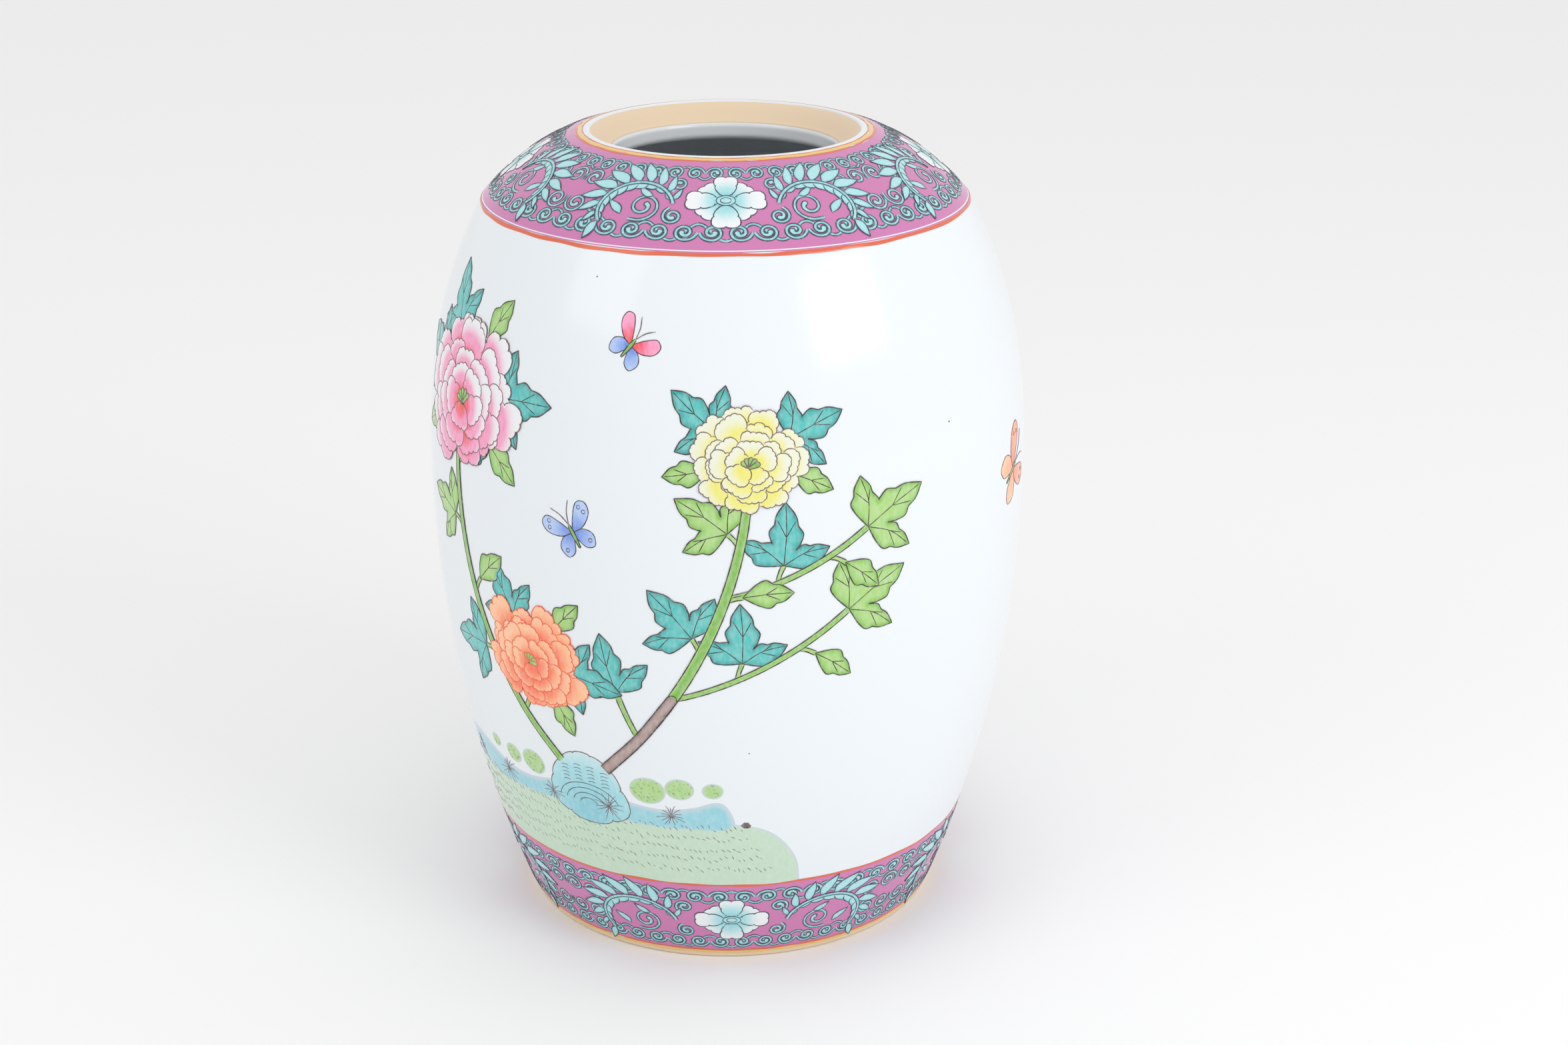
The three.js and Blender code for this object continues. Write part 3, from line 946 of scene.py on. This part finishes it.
def butterflies():
    """Butterflies in the open spaces round the jar."""
    painting = Painting(BODY, "butterflies")
    flame, sky = ("ember", "rose", "pink_pale"), ("blue", "blue_pale")
    amber = (("orange", "apricot"), ("apricot", "peach"))
    for number, side in enumerate(SIDES):
        painting.put(**side)
        butterfly(painting, (-36, 252), 40, 0.9, (flame, sky), 0)
        butterfly(painting, (-56, 184 + 8 * number), -30, 1.0, (sky, sky), 3)
        butterfly(painting, (134 - 10 * number, 186 + 34 * number), 64, 1.4, amber, 2)
    painting.build("red_enamel")


BURN_PLACE = (6, 69)
PINHEADS = ((-54, 274, 0.35), (87, 217, 0.4), (7, 102, 0.3), (-6, 44, 0.3), (230, 160, 0.3))


def kiln_specks():
    """One burnt spot on the meadow and a few pinheads."""
    painting = Painting(BODY, "kiln_specks")
    ripple = 1 + 0.09 * np.sin(np.arange(24) * 1.9)
    burn = oval(0, 0, 2, 2, count=24) * ripple[:, None] + BURN_PLACE
    painting.wash(burn, ("line", "wood_dark"), BURN_PLACE, 2.2)
    for across, up, radius in PINHEADS:
        painting.wash(oval(across, up, radius, radius * 0.8, count=10), ("wood_dark",))
    painting.build("dark_line")


# ---- Finishes -------------------------------------------------------------------------------------------


def noise(tree, place, scale, detail, stretch):
    """Smooth noise that varies over this many features in a metre, drawn out along an axis by stretch."""
    mapping, node = tree.nodes.new("ShaderNodeMapping"), tree.nodes.new("ShaderNodeTexNoise")
    mapping.inputs["Scale"].default_value = stretch
    node.inputs["Scale"].default_value = scale
    node.inputs["Detail"].default_value = detail
    tree.links.new(place, mapping.inputs["Vector"])
    tree.links.new(mapping.outputs["Vector"], node.inputs["Vector"])
    return node.outputs["Fac"]


class Finish:
    """A new material's nodes, with a short way to add and join them."""

    def __init__(self, name, roughness, **shader):
        self.material = bpy.data.materials.new(name)
        self.material.use_nodes = True
        self.nodes = self.material.node_tree.nodes
        self.shader = self.nodes["Principled BSDF"]
        self.shader.inputs["Roughness"].default_value = roughness
        for socket, value in shader.items():
            self.shader.inputs[socket.replace("_", " ")].default_value = value
        self.place = self.add("ShaderNodeTexCoord").outputs["Object"]

    def add(self, kind, **values):
        node = self.nodes.new(kind)
        for name, value in values.items():
            setattr(node, name, value)
        return node

    def join(self, source, target):
        self.material.node_tree.links.new(source, target)

    def noise(self, scale, detail=3.0, stretch=(1, 1, 1)):
        return noise(self.material.node_tree, self.place, scale, detail, stretch)

    def step(self, value, low, high):
        node = self.add("ShaderNodeMapRange", interpolation_type="SMOOTHSTEP")
        node.inputs["From Min"].default_value = low
        node.inputs["From Max"].default_value = high
        self.join(value, node.inputs["Value"])
        return node.outputs["Result"]

    def mix(self, share, first, second):
        node = self.add("ShaderNodeMix", data_type="RGBA")
        for socket, value in ((0, share), (6, first), (7, second)):
            if isinstance(value, bpy.types.NodeSocket):
                self.join(value, node.inputs[socket])
            elif isinstance(value, (int, float)):
                node.inputs[socket].default_value = value
            else:
                node.inputs[socket].default_value = (*value, 1)
        return node.outputs[2]

    def colour(self, socket):
        self.join(socket, self.shader.inputs["Base Color"])

    def bump(self, height, depth):
        """A bump this many metres deep."""
        node = self.add("ShaderNodeBump")
        node.inputs["Distance"].default_value = depth
        node.inputs["Strength"].default_value = 1.0
        self.join(height, node.inputs["Height"])
        self.join(node.outputs["Normal"], self.shader.inputs["Normal"])


def glaze_group():
    """Tone and surface of the clear glaze: a faint blue pool here and there, turning lines and pinholes."""
    group = bpy.data.node_groups.new("glaze_tone", "ShaderNodeTree")
    for name, kind in (("Colour", "NodeSocketColor"), ("Deep", "NodeSocketColor")):
        group.interface.new_socket(name, in_out="INPUT", socket_type=kind)
    for name, kind in (("Colour", "NodeSocketColor"), ("Height", "NodeSocketFloat")):
        group.interface.new_socket(name, in_out="OUTPUT", socket_type=kind)
    add, join = group.nodes.new, group.links.new
    given, given_out = add("NodeGroupInput"), add("NodeGroupOutput")
    place = add("ShaderNodeTexCoord").outputs["Object"]

    mix = add("ShaderNodeMix")
    mix.data_type = "RGBA"
    pools = add("ShaderNodeMapRange")
    for socket, number in zip(("From Min", "From Max", "To Min", "To Max"), (0.35, 0.75, 0.0, 1.0)):
        pools.inputs[socket].default_value = number
    join(noise(group, place, 14, 3, (1, 1, 2)), pools.inputs["Value"])
    join(pools.outputs["Result"], mix.inputs[0])
    join(given.outputs["Colour"], mix.inputs[6])
    join(given.outputs["Deep"], mix.inputs[7])
    join(mix.outputs[2], given_out.inputs["Colour"])
    turning = noise(group, place, 1, 2, (0.5, 0.5, 140))
    peel = noise(group, place, 420, 2, (1, 1, 1))
    total = add("ShaderNodeMath")
    total.operation = "MULTIPLY_ADD"
    total.inputs[1].default_value = 0.25
    join(peel, total.inputs[0])
    join(turning, total.inputs[2])
    join(total.outputs["Value"], given_out.inputs["Height"])
    return group


def add_glaze(finish, group):
    node = finish.add("ShaderNodeGroup", node_tree=group)
    red, green, blue = paint("glaze")
    node.inputs["Colour"].default_value = (red, green, blue, 1)
    node.inputs["Deep"].default_value = (red * 0.93, green * 0.965, blue * 0.99, 1)
    return node.outputs["Colour"], node.outputs["Height"]


def make_finishes():
    group = glaze_group()
    glaze = Finish("clear_glaze", 0.07, Coat_Weight=0.0, Specular_IOR_Level=0.55)
    colour, height = add_glaze(glaze, group)
    glaze.colour(colour)
    glaze.bump(height, 0.00006)

    wash = Finish("enamel_wash", 0.14)
    bare, height = add_glaze(wash, group)
    coat = wash.add("ShaderNodeVertexColor", layer_name="paint")
    streaks = wash.step(wash.noise(700, 4, (1, 1, 0.5)), 0.3, 0.75)
    laid = wash.mix(streaks, coat.outputs["Color"], wash.mix(0.16, coat.outputs["Color"], (0.9, 0.93, 0.95)))
    wash.colour(wash.mix(coat.outputs["Alpha"], bare, laid))
    wash.bump(wash.noise(500, 3), 0.00005)

    line = Finish("enamel_line", 0.3)
    coat = line.add("ShaderNodeVertexColor", layer_name="paint")
    worn = line.step(line.noise(500, 3), 0.52, 0.8)
    line.colour(line.mix(worn, coat.outputs["Color"], line.mix(0.35, coat.outputs["Color"], (0.7, 0.7, 0.7))))

    pink = Finish("pink_enamel", 0.22)
    broad = pink.step(pink.noise(55, 5, (1, 1, 1.6)), 0.35, 0.7)
    brush = pink.step(pink.noise(260, 4, (1, 1, 0.35)), 0.3, 0.75)
    deep = tuple(v * 0.78 for v in paint("pink"))
    pale = tuple(v * 0.55 + 0.45 * w for v, w in zip(paint("pink"), (0.86, 0.72, 0.82)))
    pink.colour(pink.mix(brush, pink.mix(broad, deep, paint("pink")), pink.mix(broad, paint("pink"), pale)))
    pink.bump(pink.noise(420, 3), 0.00008)

    for name, colour, roughness in (("red_enamel", "red", 0.34), ("yellow_enamel", "straw", 0.34)):
        plain = Finish(name, roughness)
        thin = plain.step(plain.noise(240, 3, (1, 1, 2)), 0.35, 0.75)
        plain.colour(plain.mix(thin, paint(colour), plain.mix(0.4, paint(colour), (0.92, 0.8, 0.7))))
        plain.bump(plain.noise(600, 2), 0.00004)

    biscuit = Finish("biscuit", 0.82)
    iron = biscuit.step(biscuit.noise(60, 5), 0.35, 0.7)
    specks = biscuit.step(biscuit.noise(1500, 2), 0.66, 0.72)
    warm = tuple(v * w for v, w in zip(paint("biscuit"), (0.92, 0.8, 0.66)))
    base = biscuit.mix(iron, paint("biscuit"), warm)
    biscuit.colour(biscuit.mix(specks, base, tuple(v * 0.5 for v in paint("biscuit"))))
    biscuit.bump(biscuit.noise(1300, 4), 0.00025)


# ---- Turned pieces --------------------------------------------------------------------------------------


def turned(name, outline, finish, replaces):
    """A piece of revolution. A single point is drawn out along its outline, in millimetres of radius and
    height, and the closed outline is spun round the axis."""
    bpy.ops.object.select_all(action="DESELECT")
    bpy.ops.mesh.primitive_plane_add(size=MM, location=(0, 0, 0))
    piece = bpy.context.object
    piece.name = piece.data.name = name
    bpy.ops.object.mode_set(mode="EDIT")
    bpy.ops.mesh.select_all(action="SELECT")
    bpy.ops.mesh.merge(type="CENTER")
    here = (0.0, 0.0)
    for number, there in enumerate([*outline, outline[0]]):
        step = ((there[0] - here[0]) * MM, 0, (there[1] - here[1]) * MM)
        if number:
            bpy.ops.mesh.extrude_region_move(TRANSFORM_OT_translate={"value": step})
        else:
            bpy.ops.transform.translate(value=step)
        here = there
    bpy.ops.mesh.select_all(action="SELECT")
    bpy.ops.mesh.remove_doubles(threshold=1e-6)
    segments = bpy.context.scene.jar_sizes.segments
    bpy.ops.mesh.spin(steps=segments, angle=2 * math.pi, center=(0, 0, 0), axis=(0, 0, 1))
    bpy.ops.mesh.select_all(action="SELECT")
    bpy.ops.mesh.remove_doubles(threshold=1e-6)
    bpy.ops.mesh.normals_make_consistent(inside=False)
    bpy.ops.object.mode_set(mode="OBJECT")
    bpy.ops.object.shade_smooth_by_angle(angle=SHARP)
    piece.data.materials.clear()
    piece.data.materials.append(bpy.data.materials[finish])
    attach(piece, "root")
    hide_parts(*replaces)


def on_barrel(low, high, count, lift=0.0):
    heights = np.linspace(low, high, count)
    return [(float(barrel_radius(h)) + lift, float(h)) for h in heights]


def on_dome(outer, inner, count, lift=0.0):
    radii = np.linspace(outer, inner, count)
    return [(float(r), float(dome_height(r)) + lift) for r in radii]


def arc(centre, radius, start, end, count):
    """Points on a rounded edge, between two angles in degrees."""
    turn = np.radians(np.linspace(start, end, count))
    return [(centre[0] + radius * math.cos(t), centre[1] + radius * math.sin(t)) for t in turn]


def glazed_barrel():
    """The glazed outside, from the bare foot over the shoulder to the lip."""
    edge = (LIP_RADIUS, float(dome_height(LIP_RADIUS)))
    lip = smooth([edge, (51.6, 301), (50.6, 301.2), (49.9, 301), SEAT_TOP])
    outline = [
        *on_barrel(GLAZE_START, SHOULDER_HEIGHT - 0.9, 150),
        (SHOULDER_RADIUS + 0.05, SHOULDER_HEIGHT - 0.25),
        (SHOULDER_RADIUS - 0.35, SHOULDER_HEIGHT + 0.45),
        *on_dome(SHOULDER_RADIUS - 1.2, LIP_RADIUS + 0.3, 44),
        *[tuple(map(float, p)) for p in lip[:, :2]],
        (49.9, 299.6),
        (58, 289),
        (87.2, 271.8),
        *on_barrel(246, 24, 12, -WALL + 0.2),
        (78, 14),
        (79, 8),
        (float(barrel_radius(GLAZE_START)) - 0.5, GLAZE_START),
    ]
    turned("glazed_barrel", outline, "clear_glaze",
           ("outer_glaze", "lower_body", "upper_body", "shoulder_dome"))


def bare_foot():
    """The unglazed ring that the jar stands on."""
    outer = float(barrel_radius(2)) - 0.25
    outline = [
        *arc((74.4, 1.4), 1.4, 180, 270, 7),
        *arc((outer - 1.8, 1.6), 1.6, 270, 350, 7),
        (outer, GLAZE_START + 0.3),
        (float(barrel_radius(8)) - 1, 8),
        (RING_INNER_RADIUS, 8),
    ]
    turned("bare_foot", outline, "biscuit", ("foot_ring",))


def lid_seat():
    """The bare conical seat inside the lip."""
    outline = [
        SEAT_TOP,
        (48.9, 300.2),
        (46, 297.5),
        (43.4, 295.1),
        *arc((43.2, 293.6), 1.1, 110, 180, 6),
        (42.05, 289.9),
        (42.8, 288.4),
        (44.5, 287.5),
        (58, 288.2),
        (50, 299),
    ]
    turned("lid_seat", outline, "biscuit", ("mouth_ring",))


def glazed_hollow():
    """The glaze inside, from under the seat down to the floor."""
    wall = on_barrel(24, 262, 32, -WALL)
    face = [
        (0.0, FLOOR_HEIGHT),
        (30.0, FLOOR_HEIGHT + 0.1),
        (60.0, FLOOR_HEIGHT + 0.2),
        *smooth([(68, FLOOR_HEIGHT + 0.5), (75, 14.2), (79.5, 18)]).tolist(),
        *wall,
        *smooth([(90.2, 267.5), (86.4, 270.8), (81.6, 276.2), (73.6, 282.2), (65.8, 286), (58, 287.8)]
                + [(48, 287.3), (44, 287.2), (42, 288.8), (41.7, 291), (41.7, 293), (42.4, 294.3)]).tolist(),
    ]
    back = [(r + GLAZE, z) if z > 20 else (r, z - GLAZE) for r, z in face[::-1]]
    outline = [tuple(place[:2]) for place in face + back[:-1]] + [(0.0, FLOOR_HEIGHT - GLAZE)]
    turned("glazed_hollow", outline, "clear_glaze", ("inner_glaze",))


def glazed_base():
    """The glazed underside, recessed within the foot ring."""
    edge = RING_INNER_RADIUS + 0.1
    outline = [(0.0, BASE_UNDERSIDE), (60.0, BASE_UNDERSIDE), (69.5, BASE_UNDERSIDE - 0.1),
               (edge, BASE_UNDERSIDE - 1.2), (edge, 12), (0.0, 12)]
    turned("glazed_base", outline, "clear_glaze", ("base_disc", "base_glaze"))


def border_grounds():
    """The pink ground of both borders."""
    low, high = FOOT_GROUND[0] - 0.2, FOOT_GROUND[1] + 0.2
    foot = [*on_barrel(low, high, 24, GROUND_LIFT), *on_barrel(high, low, 6, -0.1)]
    turned("foot_ground", foot, "pink_enamel", ("foot_border_ground",))
    outer, inner = 89.9, 55.2
    shoulder = [*on_dome(outer, inner, 40, GROUND_LIFT), *on_dome(inner, outer, 8, -0.1)]
    turned("shoulder_ground", shoulder, "pink_enamel", ("shoulder_border_ground",))


RULED_LIFT = 0.04


def hand_ruled(skin, name, finish, up, width, seed):
    """A line ruled by hand on the turning jar, so its edges waver."""
    draw = random.Random(seed)
    count = 720
    waves = [(draw.randint(2, 30), draw.uniform(0, 6.3), draw.uniform(0.02, 0.09)) for _ in range(9)]
    turns = np.linspace(0, 2 * math.pi, count, endpoint=False)
    sway = sum(depth * np.sin(rate * turns + start) for rate, start, depth in waves) * width
    swell = sum(depth * np.sin((rate + 7) * turns + start * 2) for rate, start, depth in waves) * width
    rows = []
    for side, raised in ((-0.5, 0.0), (-0.3, 0.8), (0.3, 0.8), (0.5, 0.0)):
        flat = np.column_stack([turns * skin.around, up + sway + side * (width + swell)])
        rows.append(skin.place(flat, np.full(count, GROUND_LIFT + RULED_LIFT * (0.3 + raised))))
    keel = np.column_stack([turns * skin.around, np.full(count, up)])
    rows.append(skin.place(keel, np.full(count, -RULED_SUNK)))
    faces = []
    for row in range(5):
        here, there = row * count, (row + 1) % 5 * count
        for i in range(count):
            after = (i + 1) % count
            faces.append([here + i, here + after, there + after, there + i])
    mesh = bpy.data.meshes.new(f"ruled_{name}")
    mesh.from_pydata(np.vstack(rows).tolist(), [], faces)
    piece = linked(mesh, finish)
    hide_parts(name)


def up_the_wall(height):
    return float(np.interp(height, BODY.heights, BODY.up))


def in_from_shoulder(radius):
    return float(np.interp(-radius, -SHOULDER.radii, SHOULDER.up))


def ruled_lines():
    hand_ruled(FOOT, "foot_yellow_line", "yellow_enamel", up_the_wall(3.1), 1.1, 1)
    hand_ruled(FOOT, "foot_red_line", "red_enamel", up_the_wall(4.1), 0.9, 2)
    hand_ruled(FOOT, "foot_border_top_line", "red_enamel", up_the_wall(37.7), 1.0, 3)
    hand_ruled(FOOT, "shoulder_red_line", "red_enamel", up_the_wall(276.1), 1.4, 4)
    hand_ruled(SHOULDER, "mouth_red_line", "red_enamel", in_from_shoulder(54.8), 1.0, 5)
    hand_ruled(SHOULDER, "mouth_yellow_line", "yellow_enamel", in_from_shoulder(53.5), 1.7, 6)
    hand_ruled(SHOULDER, "lip_red_line", "red_enamel", in_from_shoulder(52.4), 0.5, 7)


def borders():
    border(SHOULDER, "shoulder_scroll", 4, 1.0)
    border(FOOT, "foot_scroll", 4, 0.9)


def stage():
    """A flat white table top, soft lights, and the camera."""
    bpy.ops.object.select_all(action="DESELECT")
    bpy.ops.mesh.primitive_plane_add(size=40, location=(0, 0, 0))
    floor = bpy.context.object
    floor.name = "floor"
    paper = Finish("white_paper", 0.9)
    paper.shader.inputs["Base Color"].default_value = (0.93, 0.93, 0.93, 1)
    floor.data.materials.clear()
    floor.data.materials.append(paper.material)
    world = bpy.data.worlds.new("studio")
    bpy.context.scene.world = world
    world.use_nodes = True
    world.node_tree.nodes["Background"].inputs["Color"].default_value = (1, 1, 1, 1)
    world.node_tree.nodes["Background"].inputs["Strength"].default_value = 0.88

    def softbox(name, place, aim, size, power):
        light = bpy.data.lights.new(name, "AREA")
        light.shape, light.size, light.size_y, light.energy = "RECTANGLE", *size, power
        lamp = bpy.data.objects.new(name, light)
        bpy.context.scene.collection.objects.link(lamp)
        lamp.location = place
        lamp.rotation_euler = (Vector(aim) - Vector(place)).to_track_quat("-Z", "Y").to_euler()

    softbox("left_softbox", (-1.3, -0.9, 1.2), (0, 0, 0.15), (0.9, 0.9), 3)
    softbox("right_softbox", (1.2, -1.0, 0.9), (0, 0, 0.12), (0.85, 0.6), 7)

    camera = bpy.data.cameras.new("camera")
    camera.lens, camera.sensor_width = 58.16, 36
    looking_down, panned = 20.6, -1.34
    view = bpy.data.objects.new("camera", camera)
    bpy.context.scene.collection.objects.link(view)
    view.location = (0, -0.921, 0.492)
    view.rotation_euler = (math.radians(90 - looking_down), 0, math.radians(panned))
    bpy.context.scene.camera = view
    bpy.context.scene.view_settings.view_transform = "Standard"


# ---- Operators ------------------------------------------------------------------------------------------


class JarOperator:
    """What every operator of the jar does: it makes its own pieces."""

    bl_options = {"REGISTER", "UNDO"}

    def execute(self, context):
        self.make()
        return {"FINISHED"}


class JAR_OT_stage(JarOperator, bpy.types.Operator):
    """Lay out the white table, the soft lights and the camera"""

    bl_idname = "jar.stage"
    bl_label = "Stage"
    make = staticmethod(stage)


class JAR_OT_finishes(JarOperator, bpy.types.Operator):
    """Mix the glaze, the clay and the enamels"""

    bl_idname = "jar.finishes"
    bl_label = "Finishes"
    make = staticmethod(make_finishes)


class JAR_OT_glazed_barrel(JarOperator, bpy.types.Operator):
    """Turn the glazed outside, from the foot to the lip"""

    bl_idname = "jar.glazed_barrel"
    bl_label = "Glazed Barrel"
    make = staticmethod(glazed_barrel)


class JAR_OT_bare_foot(JarOperator, bpy.types.Operator):
    """Turn the unglazed foot ring"""

    bl_idname = "jar.bare_foot"
    bl_label = "Bare Foot"
    make = staticmethod(bare_foot)


class JAR_OT_lid_seat(JarOperator, bpy.types.Operator):
    """Turn the unglazed seat of the lid"""

    bl_idname = "jar.lid_seat"
    bl_label = "Lid Seat"
    make = staticmethod(lid_seat)


class JAR_OT_glazed_hollow(JarOperator, bpy.types.Operator):
    """Turn the glazed inside"""

    bl_idname = "jar.glazed_hollow"
    bl_label = "Glazed Hollow"
    make = staticmethod(glazed_hollow)


class JAR_OT_glazed_base(JarOperator, bpy.types.Operator):
    """Turn the glazed underside"""

    bl_idname = "jar.glazed_base"
    bl_label = "Glazed Base"
    make = staticmethod(glazed_base)


class JAR_OT_border_grounds(JarOperator, bpy.types.Operator):
    """Lay the pink ground of both borders"""

    bl_idname = "jar.border_grounds"
    bl_label = "Border Grounds"
    make = staticmethod(border_grounds)


class JAR_OT_ruled_lines(JarOperator, bpy.types.Operator):
    """Rule the red and yellow lines"""

    bl_idname = "jar.ruled_lines"
    bl_label = "Ruled Lines"
    make = staticmethod(ruled_lines)


class JAR_OT_borders(JarOperator, bpy.types.Operator):
    """Paint the flowers and scrolls of both borders"""

    bl_idname = "jar.borders"
    bl_label = "Borders"
    make = staticmethod(borders)


class JAR_OT_garden(JarOperator, bpy.types.Operator):
    """Paint the meadow, the water and the rock"""

    bl_idname = "jar.garden"
    bl_label = "Garden"
    make = staticmethod(garden)


class JAR_OT_branches(JarOperator, bpy.types.Operator):
    """Paint the branches and their leaves"""

    bl_idname = "jar.branches"
    bl_label = "Branches"
    make = staticmethod(branches)


class JAR_OT_peonies(JarOperator, bpy.types.Operator):
    """Paint the peonies"""

    bl_idname = "jar.peonies"
    bl_label = "Peonies"
    make = staticmethod(peonies)


class JAR_OT_butterflies(JarOperator, bpy.types.Operator):
    """Paint the butterflies"""

    bl_idname = "jar.butterflies"
    bl_label = "Butterflies"
    make = staticmethod(butterflies)


class JAR_OT_kiln_specks(JarOperator, bpy.types.Operator):
    """Add the specks that firing left"""

    bl_idname = "jar.kiln_specks"
    bl_label = "Kiln Specks"
    make = staticmethod(kiln_specks)


OPERATORS = (
    JAR_OT_stage,
    JAR_OT_finishes,
    JAR_OT_glazed_barrel,
    JAR_OT_bare_foot,
    JAR_OT_lid_seat,
    JAR_OT_glazed_hollow,
    JAR_OT_glazed_base,
    JAR_OT_border_grounds,
    JAR_OT_ruled_lines,
    JAR_OT_borders,
    JAR_OT_garden,
    JAR_OT_branches,
    JAR_OT_peonies,
    JAR_OT_butterflies,
    JAR_OT_kiln_specks,
)


class JAR_PT_panel(bpy.types.Panel):
    """The jar's operators, sizes and colours"""

    bl_idname = "JAR_PT_panel"
    bl_label = "Ginger Jar"
    bl_space_type = "VIEW_3D"
    bl_region_type = "UI"
    bl_category = "Ginger Jar"

    def draw(self, context):
        for operator in OPERATORS:
            self.layout.operator(operator.bl_idname)
        for group in (context.scene.jar_sizes, context.scene.jar_colours):
            column = self.layout.column()
            for name in group.bl_rna.properties.keys():
                if name not in ("rna_type", "name"):
                    column.prop(group, name)


CLASSES = (JarColours, JarSizes, *OPERATORS, JAR_PT_panel)


def register():
    for kind in CLASSES:
        bpy.utils.register_class(kind)
    bpy.types.Scene.jar_colours = PointerProperty(type=JarColours)
    bpy.types.Scene.jar_sizes = PointerProperty(type=JarSizes)


def unregister():
    del bpy.types.Scene.jar_sizes
    del bpy.types.Scene.jar_colours
    for kind in reversed(CLASSES):
        bpy.utils.unregister_class(kind)


def main():
    register()
    for operator in OPERATORS:
        getattr(bpy.ops.jar, operator.bl_idname.split(".")[1])()


if __name__ == "__main__":
    main()
